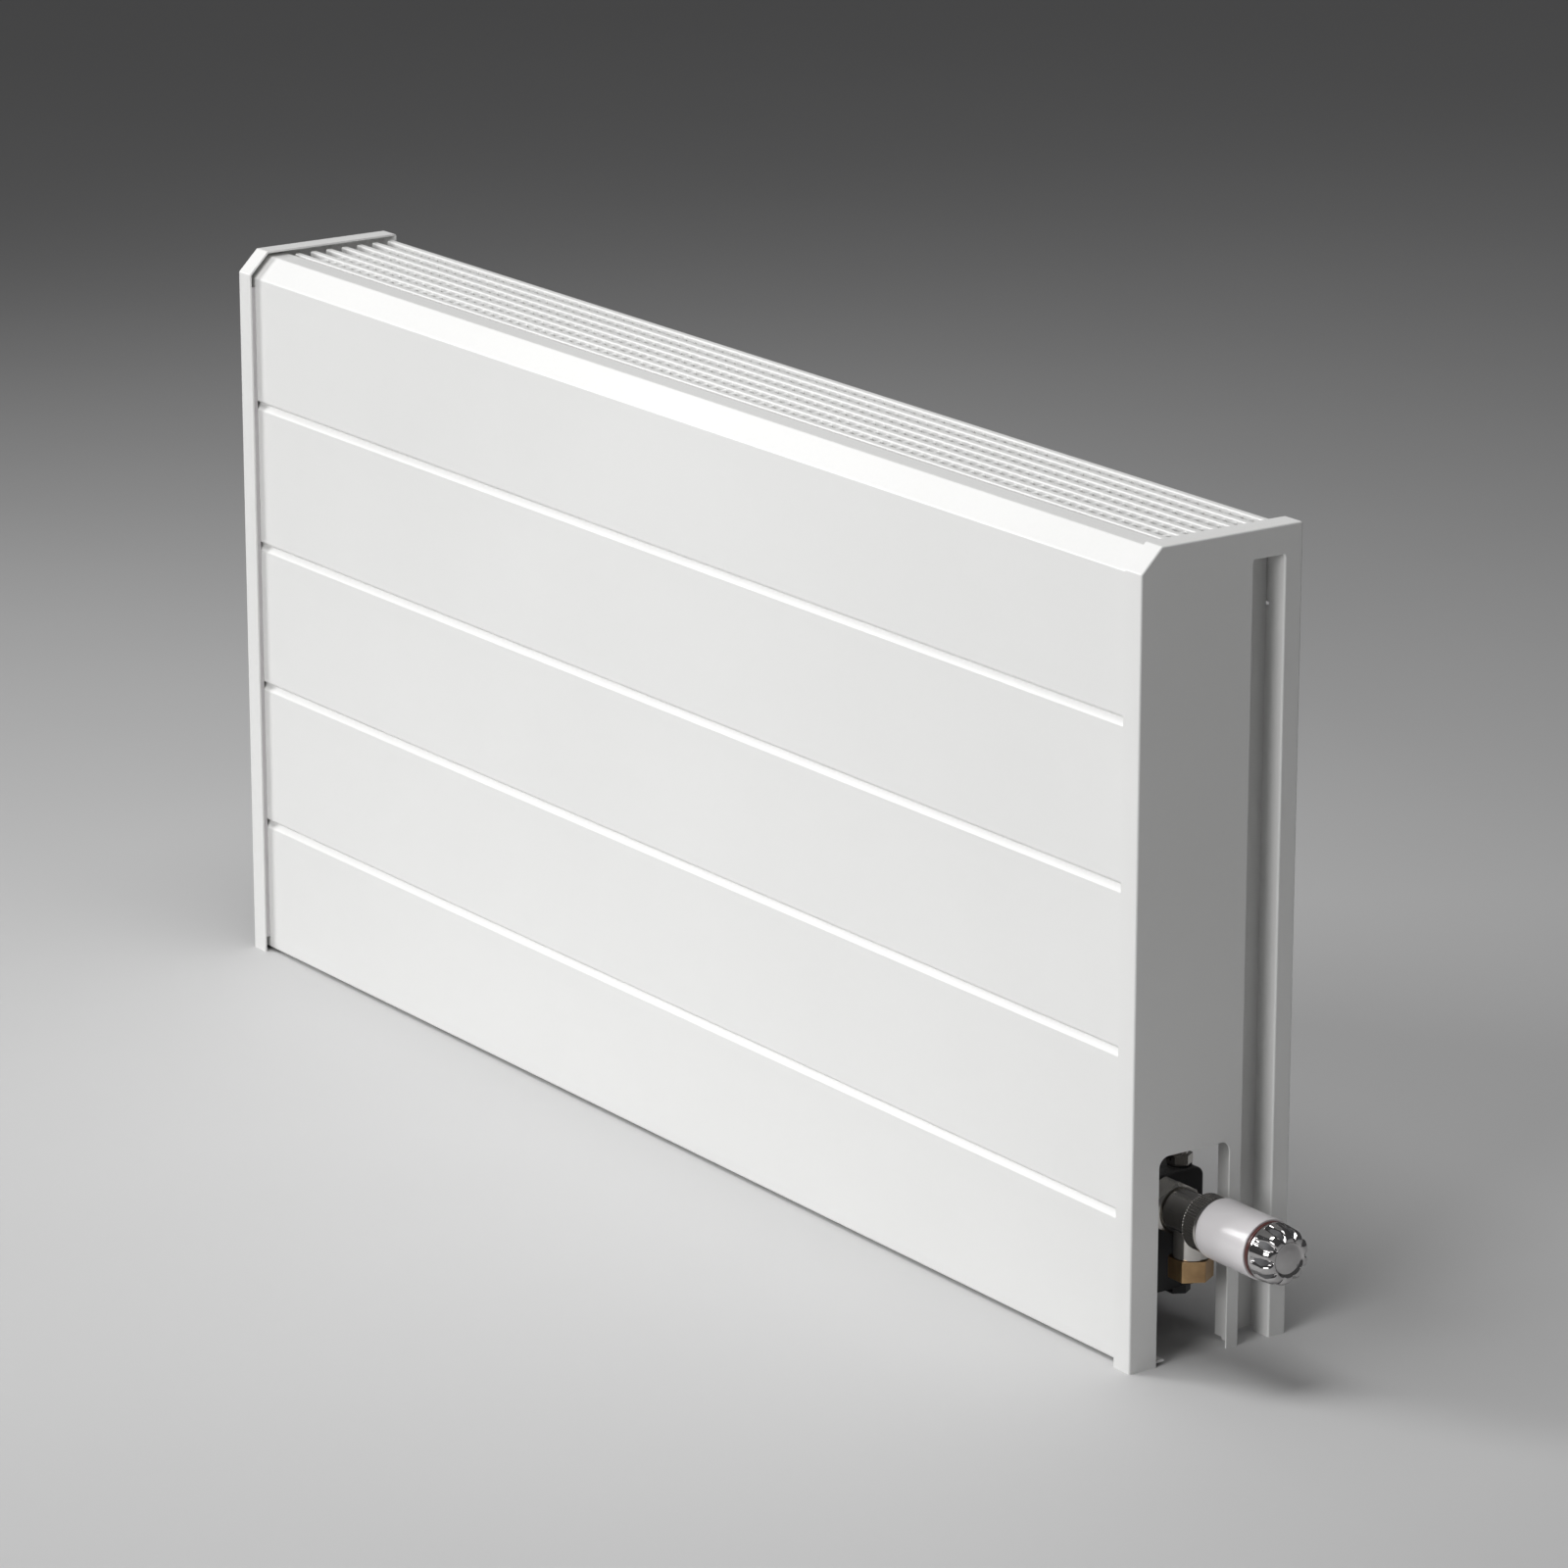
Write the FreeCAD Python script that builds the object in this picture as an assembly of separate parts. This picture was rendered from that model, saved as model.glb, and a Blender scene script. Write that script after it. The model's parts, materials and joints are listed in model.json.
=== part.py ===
import FreeCAD, Part
import math
import os

# A convector radiator with a thermostatic valve. All sizes are in millimetres.
# +X runs along the radiator to the valve end, +Y points to the wall and +Z is up.
# The origin is on the floor, in the middle of the whole footprint, valve head included.

# Casing
length = 1000.0
depth = 118.0
height = 500.0
sheet = 1.25
head_reach = 82.0
cap_return = 15.0
cap_chamfer = 14.5
panel_setback = 5.0
panel_drop = 4.0
groove_pitch = 100.0
groove_count = 4
first_groove_z = 93.5
groove_depth = 3.5
floor_gap = 2.0
bend_radius = 0.6

# Openings in the end caps, measured from the front and from the floor
cutout_start, cutout_end, cutout_top = 20.0, 73.0, 131.0
slot_start, slot_end, slot_top = 82.0, 105.0, 482.0
slot_flange = 14.0
liner_depth, liner_wing, liner_sheet = 18.2, 12.0, 1.0

# Grille
bar_count = 7
bar_pitch = 12.4
bar_width = 5.0
bar_height = 8.0
first_bar = 36.0
rod_radius = 1.5
rod_pitch = 10.4
rod_margin = 20.0

# Heat exchanger
exchanger_start, exchanger_end = 35.0, 87.0
exchanger_bottom, exchanger_top = 25.0, 103.0
tube_radius, tube_wall = 7.5, 1.0
front_tube, rear_tube = 52.0, 76.0
low_tube_z, high_tube_z = 42.0, 86.0
fin_pitch, fin_thickness = 7.0, 0.5
flow_inset, return_inset = 40.0, 56.0
header_width = 22.0
fin_gap = 4.0
socket_depth = 6.0
header_wall = 5.0

# Wall brackets
bracket_margin = 150.0
bracket_width = 40.0
bracket_sheet = 2.0
hook_z = 450.0
pad_thickness = 3.0
wall_hole_radius = 3.5
low_hole_z, high_hole_z = 130.0, 430.0

# Valves
pipe_radius = 7.5
running = 0.05
spindle_radius = 2.45
head_radius = 18.75

# Places worked out from the sizes above
left_x = -(length + head_reach) / 2
right_x = left_x + length
middle_x = (left_x + right_x) / 2
front_y = -depth / 2
back_y = depth / 2
panel_y = front_y + panel_setback
grille_top = height - panel_drop
ledge_z = grille_top - bar_height
valve_y = front_y + front_tube
rear_y = front_y + rear_tube
bracket_floor_z = exchanger_bottom - pad_thickness - bracket_sheet
band_end_y = front_y + 34.0
rail_y = back_y - 10.0
X_AXIS = FreeCAD.Vector(1, 0, 0)
Y_AXIS = FreeCAD.Vector(0, 1, 0)
Z_AXIS = FreeCAD.Vector(0, 0, 1)


def box(x0, x1, y0, y1, z0, z1):
    """A box between two corners."""
    corner = FreeCAD.Vector(min(x0, x1), y0, z0)
    return Part.makeBox(abs(x1 - x0), y1 - y0, z1 - z0, corner)


def rod(axis, start, end, a, b, radius):
    """A cylinder along an axis, from start to end; a and b are its place on the other two axes."""
    if axis == X_AXIS:
        base = FreeCAD.Vector(min(start, end), a, b)
    elif axis == Y_AXIS:
        base = FreeCAD.Vector(a, min(start, end), b)
    else:
        base = FreeCAD.Vector(a, b, min(start, end))
    return Part.makeCylinder(radius, abs(end - start), base, axis)


def hexagon(axis, start, end, a, b, across_flats):
    """A six-sided bar along an axis with its corners chamfered by a turned blank."""
    radius = across_flats / math.sqrt(3)
    corners = []
    for i in range(7):
        angle = math.radians(60 * i)
        u, v = radius * math.cos(angle), radius * math.sin(angle)
        if axis == X_AXIS:
            corners.append(FreeCAD.Vector(min(start, end), a + u, b + v))
        else:
            corners.append(FreeCAD.Vector(a + u, b + v, min(start, end)))
    prism = Part.Face(Part.makePolygon(corners)).extrude(axis * abs(end - start))
    blank = rod(axis, start, end, a, b, radius * 0.985)
    return prism.common(blank)


def turned(profile, y, z):
    """A solid turned about the X line through y, z. The profile lists (x, radius) points."""
    points = [FreeCAD.Vector(x, y + r, z) for x, r in profile]
    face = Part.Face(Part.makePolygon(points + points[:1]))
    return face.revolve(FreeCAD.Vector(0, y, z), X_AXIS, 360)


def rounded_wire(points, radii):
    """A closed wire through 2D points in the YZ plane, each corner rounded by its own radius."""
    count = len(points)
    ends = []
    for i, (y, z) in enumerate(points):
        here = FreeCAD.Vector(0, y, z)
        before = FreeCAD.Vector(0, *points[i - 1]) - here
        after = FreeCAD.Vector(0, *points[(i + 1) % count]) - here
        before.normalize()
        after.normalize()
        inside = before.getAngle(after)
        reach = radii[i] / math.tan(inside / 2)
        middle = before + after
        if radii[i] == 0 or middle.Length < 1e-6:
            ends.append((here, None, here))
            continue
        middle.normalize()
        away = radii[i] / math.sin(inside / 2) - radii[i]
        ends.append((here + before * reach, here + middle * away, here + after * reach))
    edges = []
    for i, (start, crown, end) in enumerate(ends):
        if crown is not None:
            edges.append(Part.Arc(start, crown, end).toShape())
        following = ends[(i + 1) % count][0]
        if (following - end).Length > 1e-6:
            edges.append(Part.LineSegment(end, following).toShape())
    return Part.Wire(edges)


def folded_sheet(points, thickness, x0, x1):
    """A folded sheet along X. The points are its skin in the YZ plane, with the metal to their right."""
    steps = []
    for (y0, z0), (y1, z1) in zip(points, points[1:]):
        run = math.hypot(y1 - y0, z1 - z0)
        steps.append(((y1 - y0) / run, (z1 - z0) / run))
    skin_radii, back, back_radii = [], [], []
    for i, (y, z) in enumerate(points):
        u0, v0 = steps[max(i - 1, 0)]
        u1, v1 = steps[min(i, len(steps) - 1)]
        shift = thickness / (1 + u0 * u1 + v0 * v1)
        back.append((y + shift * (v0 + v1), z - shift * (u0 + u1)))
        turn = u0 * v1 - v0 * u1
        skin_radii.append(0 if turn == 0 else bend_radius + (thickness if turn < 0 else 0))
        back_radii.append(0 if turn == 0 else bend_radius + (thickness if turn > 0 else 0))
    wire = rounded_wire(points + back[::-1], skin_radii + back_radii[::-1])
    wire.translate(FreeCAD.Vector(x0, 0, 0))
    return Part.Face(wire).extrude(FreeCAD.Vector(x1 - x0, 0, 0))


def fillet_where(shape, radius, wanted):
    """Rounds the edges whose middle point passes the wanted test."""
    edges = [e for e in shape.Edges if wanted(e.valueAt((e.FirstParameter + e.LastParameter) / 2), e)]
    return shape.makeFillet(radius, edges)


def along_x(edge):
    """True for a straight edge that runs along X."""
    start, end = edge.Vertexes[0].Point, edge.Vertexes[-1].Point
    return abs((end - start).x) > 0.999 * (end - start).Length > 0


# ---- casing ----

def front_panel():
    """The folded front: bottom return, grooved face, chamfer, top band and the ledge for the grille."""
    chamfer = cap_chamfer - 1.0
    line = [(panel_y + 22, floor_gap), (panel_y, floor_gap)]
    for i in range(groove_count):
        z = first_groove_z + groove_pitch * i
        line += [(panel_y, z - 3), (panel_y + groove_depth, z + 1.5), (panel_y, z + 2.7)]
    line += [(panel_y, grille_top - chamfer), (panel_y + chamfer, grille_top)]
    line += [(band_end_y, grille_top), (band_end_y, ledge_z), (band_end_y + 9, ledge_z)]
    panel = folded_sheet(line, sheet, left_x + sheet + 0.25, right_x - sheet - 0.25)
    for x, z in rivet_places():
        panel = panel.cut(rod(Y_AXIS, front_y, panel_y + 10, x, z, 1.6))
    return panel


def cap_outline(inset, bottom):
    """The end cap's side outline, drawn in from its outer faces by inset."""
    lean = inset * (math.sqrt(2) - 1)
    return [
        (front_y + inset, bottom),
        (front_y + inset, height - cap_chamfer - lean),
        (front_y + cap_chamfer + lean, height - inset),
        (back_y - inset, height - inset),
        (back_y - inset, bottom),
    ]


def cap_block(inset, bottom, x_start, x_end, radius):
    """A solid block of the cap's outline between two X planes, with its upright and top corners rounded."""
    wire = rounded_wire(cap_outline(inset, bottom), [0, radius, radius, radius, 0])
    wire.translate(FreeCAD.Vector(x_start, 0, 0))
    return Part.Face(wire).extrude(FreeCAD.Vector(x_end - x_start, 0, 0))


def end_cap(outer_x, inward):
    """A folded end cap. outer_x is its outer face and inward is +1 or -1 along X."""
    outer = cap_block(0, 0, outer_x, outer_x + inward * cap_return, 1.8)
    outer = fillet_where(outer, 1.2, lambda p, e: abs(p.x - outer_x) < 1e-6 and p.z > 0.01)
    hollow_start = outer_x + inward * sheet
    hollow = cap_block(sheet, -1, hollow_start, outer_x + inward * (cap_return + 1), 0.6)
    cap = outer.cut(hollow)
    wide_start, wide_end = outer_x - inward, hollow_start + inward
    cutout = box(wide_start, wide_end, front_y + cutout_start, front_y + cutout_end, -1, cutout_top)
    cutout = fillet_where(cutout, 7, lambda p, e: along_x(e) and p.z > 0)
    slot = box(wide_start, wide_end, front_y + slot_start, front_y + slot_end, -1, slot_top)
    slot = fillet_where(slot, 2, lambda p, e: along_x(e) and p.z > 0)
    cap = cap.cut(cutout).cut(slot)
    flange_end = outer_x + inward * slot_flange
    rear = box(outer_x, flange_end, front_y + slot_end, front_y + slot_end + sheet, 0, slot_top)
    front = box(outer_x, flange_end, front_y + slot_start - sheet, front_y + slot_start, 0, slot_top)
    cap = cap.fuse(rear).fuse(front).removeSplitter()
    folds = (front_y + slot_start, front_y + slot_end)

    def is_fold(p, e):
        on_fold = min(abs(p.y - fold) for fold in folds) < 1e-6
        return abs(p.x - outer_x) < 1e-6 and on_fold and 10 < p.z < slot_top - 10

    return fillet_where(cap, 1.1, is_fold)


def slot_liners():
    """Folded channels that clip over each slot's flanges and close the recess towards the inside."""
    liners = []
    y0, y1 = front_y + slot_start - sheet, front_y + slot_end + sheet
    for outer_x, inward in ((left_x, 1), (right_x, -1)):
        web_start = outer_x + inward * liner_depth
        web_end = web_start + inward * liner_sheet
        wing_end = web_end - inward * liner_wing
        web = box(web_start, web_end, y0 - liner_sheet, y1, floor_gap, slot_top - 2)
        front = box(wing_end, web_end, y0 - liner_sheet, y0, floor_gap, slot_top - 2)
        rear = box(wing_end, web_end, y1, y1 + liner_sheet, floor_gap, hook_z - 2)
        liners.append(web.fuse(front).fuse(rear).removeSplitter())
    return Part.makeCompound(liners)


def rivet_places():
    """X and Z of the rivets that hold the front panel to the end caps' spacers."""
    places = []
    for x in (left_x + 8, right_x - 8):
        for z in (45.0, 145.0, 245.0, 345.0, 445.0):
            places.append((x, z))
    return places


def cap_spacers():
    """Upright strips that fill the gap between each cap's front return and the front panel."""
    strips = []
    for x in (left_x + 3, right_x - 13):
        strips.append(box(x, x + 10, front_y + sheet, panel_y, 10, height - 24))
    strips = Part.makeCompound(strips)
    for x, z in rivet_places():
        strips = strips.cut(rod(Y_AXIS, front_y + 2.5, panel_y + 1, x, z, 1.6))
    return strips


def spacer_rivets():
    """Blind rivets through the panel into the spacers, with their heads inside the casing."""
    rivets = []
    for x, z in rivet_places():
        shank = rod(Y_AXIS, front_y + 2.5, panel_y + sheet, x, z, 1.6)
        dome = rod(Y_AXIS, panel_y + sheet, panel_y + sheet + 1.2, x, z, 3.2)
        dome = fillet_where(dome, 0.8, lambda p, e: abs(p.y - panel_y - sheet - 1.2) < 1e-6)
        rivets.append(shank.fuse(dome).removeSplitter())
    return Part.makeCompound(rivets)


def rear_rail():
    """The rail across the back: a ledge under the grille and a leg that stands in the bracket hooks."""
    line = [(rail_y - 12, ledge_z), (rail_y, ledge_z), (rail_y, hook_z)]
    return folded_sheet(line, sheet, left_x + sheet, right_x - sheet)


def grille_supports():
    """Angle bars across the casing, under the ledges of the front panel and the rear rail."""
    bars = []
    top = ledge_z - sheet
    for x in (middle_x - 300, middle_x, middle_x + 300):
        flat = box(x, x + 12, band_end_y + 1, rail_y - 2, top - 1.5, top)
        leg = box(x, x + 1.5, band_end_y + 1, rail_y - 2, top - 14, top - 1.5)
        bars.append(flat.fuse(leg).removeSplitter())
    return Part.makeCompound(bars)


# ---- grille ----

def grille_span():
    """X limits of the grille bars, clear of the caps' top returns."""
    return left_x + cap_return + 0.6, right_x - cap_return - 0.6


def grille_bars():
    """The long bars of the grille, with rounded top edges."""
    x0, x1 = grille_span()
    bars = []
    for i in range(bar_count):
        y = front_y + first_bar + bar_pitch * i
        bar = box(x0, x1, y, y + bar_width, ledge_z, grille_top)
        bars.append(fillet_where(bar, 1.0, lambda p, e: along_x(e) and p.z > grille_top - 0.01))
    return Part.makeCompound(bars)


def grille_cross_rods():
    """Thin round rods pressed through the long bars."""
    x0, x1 = grille_span()
    count = int((x1 - x0 - 2 * rod_margin) / rod_pitch) + 1
    first = (x0 + x1 - rod_pitch * (count - 1)) / 2
    start = front_y + first_bar + 0.6
    end = front_y + first_bar + bar_pitch * (bar_count - 1) + bar_width - 0.6
    z = grille_top - 3.0
    places = [first + rod_pitch * i for i in range(count)]
    return Part.makeCompound([rod(Y_AXIS, start, end, x, z, rod_radius) for x in places])


# ---- wall brackets ----

def wall_bracket(x):
    """A folded bracket: hook for the rear rail, wall plate with two holes, arm and lip for the exchanger."""
    line = [(back_y - 20, hook_z + 14), (back_y - 20, hook_z), (back_y, hook_z), (back_y, bracket_floor_z)]
    line += [(front_y + 29, bracket_floor_z), (front_y + 29, bracket_floor_z + 22)]
    half = bracket_width / 2
    bracket = folded_sheet(line, bracket_sheet, x - half, x + half)
    for z in (low_hole_z, high_hole_z):
        bracket = bracket.cut(rod(Y_AXIS, back_y - 5, back_y + 1, x, z, wall_hole_radius))
    return bracket


def bracket_pads():
    """Rubber pads between the bracket arms and the heat exchanger."""
    pads = []
    low = exchanger_bottom - pad_thickness
    for x in (left_x + bracket_margin, right_x - bracket_margin):
        pad = box(x - 17, x + 17, front_y + exchanger_start, front_y + exchanger_end, low, exchanger_bottom)
        pads.append(fillet_where(pad, 4, lambda p, e: abs(e.tangentAt(e.FirstParameter).z) > 0.9))
    return Part.makeCompound(pads)


# ---- heat exchanger ----

def tube_places():
    """Y and Z of the copper tubes."""
    return [(y, z) for y in (valve_y, rear_y) for z in (low_tube_z, high_tube_z)]


def fin_pack():
    """Thin fins on collars that sleeve the copper tubes."""
    x0 = left_x + return_inset + header_width + fin_gap
    x1 = right_x - flow_inset - header_width - fin_gap
    y0, y1 = front_y + exchanger_start, front_y + exchanger_end
    fin = box(x0, x0 + fin_thickness, y0, y1, exchanger_bottom, exchanger_top)
    count = int((x1 - x0 - fin_thickness) / fin_pitch) + 1
    pieces = []
    for i in range(count):
        plate = fin.copy()
        plate.translate(FreeCAD.Vector(fin_pitch * i, 0, 0))
        pieces.append(plate)
    last_x = x0 + fin_pitch * (count - 1) + fin_thickness
    collars = [rod(X_AXIS, x0, last_x, y, z, tube_radius + 0.6) for y, z in tube_places()]
    pack = pieces[0].multiFuse(pieces[1:] + collars)
    bores = [rod(X_AXIS, x0 - 1, last_x + 1, y, z, tube_radius) for y, z in tube_places()]
    return pack.cut(Part.makeCompound(bores))


def copper_tubes():
    """Four copper tubes between the headers."""
    x0 = left_x + return_inset + header_width - socket_depth
    x1 = right_x - flow_inset - header_width + socket_depth
    tubes = []
    for y, z in tube_places():
        bore = rod(X_AXIS, x0 - 1, x1 + 1, y, z, tube_radius - tube_wall)
        tubes.append(rod(X_AXIS, x0, x1, y, z, tube_radius).cut(bore))
    return Part.makeCompound(tubes)


def header(end_x, inward, connection_z):
    """A brass header. end_x is its outer face; the tubes enter from the inward side."""
    inner_x = end_x + inward * header_width
    y0, y1 = front_y + exchanger_start + 1, front_y + exchanger_end - 1
    z0, z1 = exchanger_bottom + 2, exchanger_top - 2
    block = box(end_x, inner_x, y0, y1, z0, z1)
    block = fillet_where(block, 6, lambda p, e: along_x(e))
    block = fillet_where(block, 1.5, lambda p, e: abs(p.x - end_x) < 1e-6)
    wall = header_wall
    chamber_x = inner_x - inward * socket_depth
    chamber = box(end_x + inward * wall, chamber_x, y0 + wall, y1 - wall, z0 + wall + 2, z1 - wall - 2)
    block = block.cut(chamber)
    for y, z in tube_places():
        block = block.cut(rod(X_AXIS, chamber_x - inward, inner_x + inward, y, z, tube_radius))
    block = block.cut(rod(X_AXIS, end_x - inward, end_x + inward * (wall + 1), valve_y, connection_z, 8.0))
    x = end_x + inward * header_width / 2
    block = block.cut(rod(Z_AXIS, z0 - 1, z0 + wall + 3, x, rear_y, 5.0))
    return block.cut(rod(Z_AXIS, z1 - wall - 3, z1 + 1, x, rear_y, 5.0))


def port_places():
    """X of the upright ports in the flow header and the return header."""
    return right_x - flow_inset - header_width / 2, left_x + return_inset + header_width / 2


def header_plugs():
    """Hexagon plugs in the unused header ports: both bottoms, and the top of the return header."""
    low, high = exchanger_bottom + 2, exchanger_top - 2
    flow_x, return_x = port_places()
    plugs = []
    for x in (flow_x, return_x):
        spigot = rod(Z_AXIS, low, low + 5, x, rear_y, 5.0)
        plugs.append(hexagon(Z_AXIS, low - 6, low - 1, x, rear_y, 14).fuse(spigot))
        plugs[-1] = plugs[-1].fuse(rod(Z_AXIS, low - 1, low, x, rear_y, 5.0)).removeSplitter()
    spigot = rod(Z_AXIS, high - 5, high + 1, return_x, rear_y, 5.0)
    plugs.append(hexagon(Z_AXIS, high + 1, high + 6, return_x, rear_y, 14).fuse(spigot).removeSplitter())
    return Part.makeCompound(plugs)


def port_washers():
    """Flat sealing washers under the plugs and the air vent."""
    low, high = exchanger_bottom + 2, exchanger_top - 2
    flow_x, return_x = port_places()
    washers = []
    for x, z in ((flow_x, low - 1), (return_x, low - 1), (return_x, high), (flow_x, high)):
        washers.append(rod(Z_AXIS, z, z + 1, x, rear_y, 7.5).cut(rod(Z_AXIS, z - 1, z + 2, x, rear_y, 5.0)))
    return Part.makeCompound(washers)


def vent_plug():
    """The body of the air vent, screwed into the top of the flow header."""
    x, z = port_places()[0], exchanger_top - 2
    body = hexagon(Z_AXIS, z + 1, z + 7, x, rear_y, 14)
    spigot = rod(Z_AXIS, z - 5, z + 1, x, rear_y, 5.0)
    collar = rod(Z_AXIS, z + 7, z + 9, x, rear_y, 5.5)
    body = body.fuse(spigot).fuse(collar).removeSplitter()
    side_hole = rod(Y_AXIS, rear_y - 9, rear_y, x, z + 4, 0.8)
    return body.cut(rod(Z_AXIS, z - 6, z + 10, x, rear_y, 2.5)).cut(side_hole)


def vent_screw():
    """The bleed screw of the air vent, with a square key end."""
    x, z = port_places()[0], exchanger_top - 2
    shank = rod(Z_AXIS, z - 2, z + 10, x, rear_y, 2.5 - running)
    key = box(x - 2.3, x + 2.3, rear_y - 2.3, rear_y + 2.3, z + 10, z + 13.5)
    return shank.fuse(key).removeSplitter()


# ---- pipe connections shared by both valves ----

def tailpiece(header_x, outward, z):
    """A tailpiece from a header's face to the valve, with the collar that the union nut pulls on."""
    at = [header_x + outward * d for d in (-header_wall, 0, 8, 9.8)]
    profile = [(at[0], 8.0), (at[2], 8.0), (at[2], 10.6), (at[3], 10.6), (at[3], 6.5), (at[0], 6.5)]
    return turned(profile, valve_y, z)


def union_nut(header_x, outward, z):
    """The hexagon nut that pulls the tailpiece onto the valve body."""
    start, lip, end = [header_x + outward * d for d in (4.6, 7.9, 19.0)]
    nut = hexagon(X_AXIS, start, end, valve_y, z, 30)
    nut = nut.cut(rod(X_AXIS, start - outward, end + outward, valve_y, z, 8.3))
    return nut.cut(rod(X_AXIS, lip, end + outward, valve_y, z, 12.0))


def pipe_nut(x, bottom_z):
    """A hexagon compression nut round a pipe end that points down."""
    nut = hexagon(Z_AXIS, bottom_z, bottom_z + 13, x, valve_y, 24)
    nut = nut.cut(rod(Z_AXIS, bottom_z - 1, bottom_z + 14, x, valve_y, pipe_radius + 0.1))
    return nut.cut(rod(Z_AXIS, bottom_z + 3.5, bottom_z + 14, x, valve_y, 10.0))


def olive(x, bottom_z):
    """The brass ring that the compression nut squeezes onto the pipe."""
    z = bottom_z + 3.8
    ring = rod(Z_AXIS, z, z + 5, x, valve_y, 9.4)
    ring = fillet_where(ring, 1.2, lambda p, e: len(e.Vertexes) == 1)
    return ring.cut(rod(Z_AXIS, z - 1, z + 6, x, valve_y, pipe_radius + 0.1))


# ---- thermostatic valve ----

flow_face_x = right_x - flow_inset
flow_pipe_x = flow_face_x + 31.3
flow_nut_z = high_tube_z - 38.0
seat_x = flow_face_x + 23.0


def valve_body():
    """The angle body: union thread, seat, downward inlet and the threaded neck for the head."""
    x, y, z = flow_face_x, valve_y, high_tube_z
    profile = [(x + 9.9, 0.0), (x + 9.9, 12.0), (x + 19.5, 12.0), (x + 20.5, 13.5), (x + 41, 13.5)]
    profile += [(x + 42, 15.0), (x + 50, 15.0), (x + 50, 0.0)]
    body = turned(profile, y, z)
    branch = rod(Z_AXIS, flow_nut_z + 13.5, z, flow_pipe_x, y, 11.5)
    spigot = rod(Z_AXIS, flow_nut_z + 9.2, flow_nut_z + 13.5, flow_pipe_x, y, 9.9)
    body = body.fuse(branch).fuse(spigot).removeSplitter()
    body = body.cut(rod(X_AXIS, x + 9, seat_x - 3, y, z, 9.0))
    body = body.cut(rod(X_AXIS, seat_x - 4, seat_x, y, z, 5.5))
    body = body.cut(rod(X_AXIS, seat_x, x + 51, y, z, 9.0))
    body = body.cut(rod(Z_AXIS, flow_nut_z + 8, z, flow_pipe_x, y, 6.5))
    return body.cut(rod(Z_AXIS, flow_nut_z + 8, flow_nut_z + 15.5, flow_pipe_x, y, pipe_radius + 0.1))


def valve_insert():
    """The insert that guides the spindle and holds its spring."""
    x, y, z = flow_face_x, valve_y, high_tube_z
    profile = [(x + 37, 9.0), (x + 50, 9.0), (x + 50, 6.0), (x + 55, 6.0), (x + 55, 2.5)]
    profile += [(x + 50.6, 2.5), (x + 50.6, 4.4), (x + 48.6, 4.4), (x + 48.6, 2.5), (x + 46, 2.5)]
    profile += [(x + 46, 5.5), (x + 37, 5.5)]
    return turned(profile, y, z)


def spindle_o_ring():
    """The O-ring that seals the spindle in the insert."""
    middle = FreeCAD.Vector(flow_face_x + 49.6, valve_y, high_tube_z)
    return Part.makeTorus(3.48, 0.9, middle, X_AXIS)


def spring_seat():
    """The washer that the return spring stands on."""
    x = flow_face_x + 37
    return turned([(x, 5.5), (x + 1.2, 5.5), (x + 1.2, 2.9), (x, 2.9)], valve_y, high_tube_z)


def return_spring():
    """The coil spring that opens the valve when the head lets go of the pin."""
    wire_radius, coil_radius, coil_length = 0.35, 4.2, 4.6
    turns, steps = 4, 16
    start = flow_face_x + 38.2 + wire_radius + 0.05
    points = []
    for i in range(turns * steps + 1):
        angle = 2 * math.pi * i / steps
        x = start + coil_length * i / (turns * steps)
        y, z = valve_y + coil_radius * math.cos(angle), high_tube_z + coil_radius * math.sin(angle)
        points.append(FreeCAD.Vector(x, y, z))
    line = Part.BSplineCurve()
    line.interpolate(points)
    circle = Part.Wire(Part.makeCircle(wire_radius, points[0], line.tangent(0)[0]))
    return Part.Wire(line.toShape()).makePipeShell([circle], True, True)


def valve_spindle():
    """The spindle with its disc holder, spring collar and pin end."""
    x = flow_face_x
    profile = [(x + 26.2, 0.0), (x + 26.2, 3.6), (x + 27.6, 3.6), (x + 27.6, spindle_radius)]
    profile += [(x + 43.6, spindle_radius), (x + 43.6, 5.0), (x + 44.8, 5.0), (x + 44.8, spindle_radius)]
    profile += [(x + 59.5, spindle_radius), (x + 60, spindle_radius - 0.5), (x + 60, 0.0)]
    return turned(profile, valve_y, high_tube_z)


def valve_disc():
    """The rubber disc that closes on the seat."""
    disc = rod(X_AXIS, seat_x + 1.2, flow_face_x + 26.2, valve_y, high_tube_z, 7.2)
    return fillet_where(disc, 0.6, lambda p, e: len(e.Vertexes) == 1)


def head_collar_nut():
    """The knurled ring nut that holds the head on the valve body."""
    x, y, z = flow_face_x, valve_y, high_tube_z
    profile = [(x + 43, 16.8), (x + 43.8, 17.6), (x + 54.2, 17.6), (x + 55, 16.8)]
    profile += [(x + 55, 13.0), (x + 53, 13.0), (x + 53, 15.05), (x + 43, 15.05)]
    nut = turned(profile, y, z)
    grooves = []
    for i in range(36):
        angle = math.radians(10 * i)
        grooves.append(rod(X_AXIS, x + 42, x + 56, y + 18 * math.cos(angle), z + 18 * math.sin(angle), 0.9))
    return nut.cut(Part.makeCompound(grooves))


def head_base():
    """The fixed carrier inside the head, which guides the sensor."""
    x = flow_face_x
    profile = [(x + 50.2, 6.5), (x + 50.2, 14.6), (x + 52.8, 14.6), (x + 52.8, 12.8), (x + 58, 12.8)]
    profile += [(x + 58, 14.0), (x + 98, 14.0), (x + 98, 9.0), (x + 63, 9.0), (x + 63, 6.5)]
    return turned(profile, valve_y, high_tube_z)


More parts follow.
